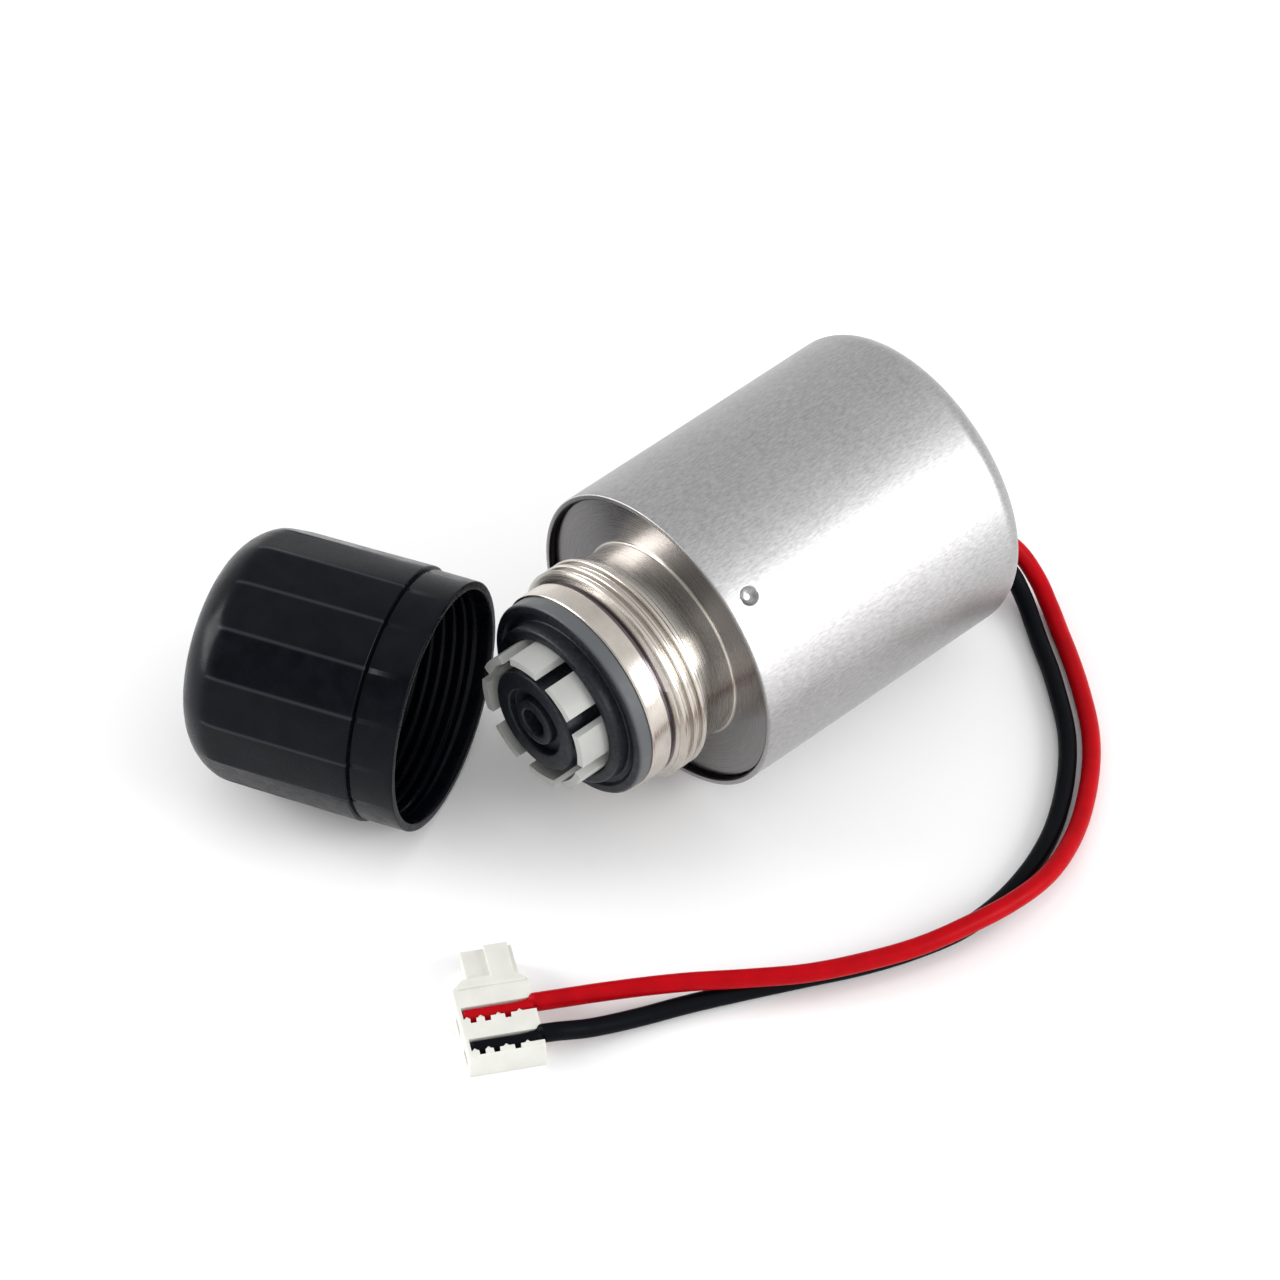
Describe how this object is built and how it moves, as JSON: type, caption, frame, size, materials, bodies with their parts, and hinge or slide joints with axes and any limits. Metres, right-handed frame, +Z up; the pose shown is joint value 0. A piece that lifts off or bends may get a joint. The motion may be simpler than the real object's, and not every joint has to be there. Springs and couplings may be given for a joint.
{
  "type": "latching solenoid pilot valve",
  "caption": "Small latching solenoid pilot valve in a round steel can, with a threaded neck, castellated nose, two leads with a plug, and a loose thread cap.",
  "frame": {"origin": "on the valve axis, in the plane of the seating face behind the thread", "axes": "+Y along the valve axis towards the closed end of the can, the nose points to -Y; +Z up, the part lies on its side"},
  "size_m": [0.0645, 0.0731, 0.028],
  "materials": {
    "steel_can": "fine brushed",
    "nickel": "nickel plate over turned metal",
    "tube_steel": "drawn",
    "rubber": "matte",
    "black_rubber": "satin moulded",
    "grey_plastic": "moulded",
    "soft_iron": "turned",
    "spring_steel": "drawn wire",
    "bobbin_nylon": "moulded",
    "copper": "enamelled wire",
    "tape": "film",
    "brass": "tinned",
    "solder": "satin",
    "ferrite": "sintered",
    "dark_plastic": "moulded",
    "red_pvc": "soft",
    "black_pvc": "soft",
    "white_nylon": "natural",
    "black_plastic": "moulded gloss"
  },
  "bodies": {
    "root": {"can": "steel_can", "threaded_base": "nickel", "guide_tube": "tube_steel", "tube_o_ring": "rubber", "seat_insert": "black_rubber", "insert_o_ring": "rubber", "tooth_cage": "grey_plastic", "sealing_ring": "black_rubber", "pole_piece": "soft_iron", "cushion_washer": "rubber", "bobbin": "bobbin_nylon", "winding": "copper", "coil_tape": "tape", "terminal_pins": "brass", "solder_joints": "solder", "latching_magnet": "ferrite", "magnet_spacer": "dark_plastic", "rear_pole_plate": "soft_iron", "rear_insulator": "dark_plastic", "red_lead_tail": "red_pvc", "black_lead_tail": "black_pvc", "lead_grommet": "rubber", "red_lead": "red_pvc", "black_lead": "black_pvc", "connector_housing": "white_nylon", "connector_contacts": "brass"},
    "plunger": {"plunger": "soft_iron", "plunger_seal": "rubber", "return_spring": "spring_steel"},
    "cap": {"thread_cap": "black_plastic"}
  },
  "joints": [
    {"name": "plunger_slide", "type": "slide", "parent": "root", "child": "plunger", "axis": [0, 1, 0], "range_m": [0, 0.0008], "stiffness_N_per_m": 300, "springref_m": -0.002, "deforming": ["return_spring"]},
    {"name": "cap_slide", "type": "slide", "parent": "root", "child": "cap", "axis": [-0.9026, -0.4305, 0], "range_m": [0, 0.03]}
  ]
}
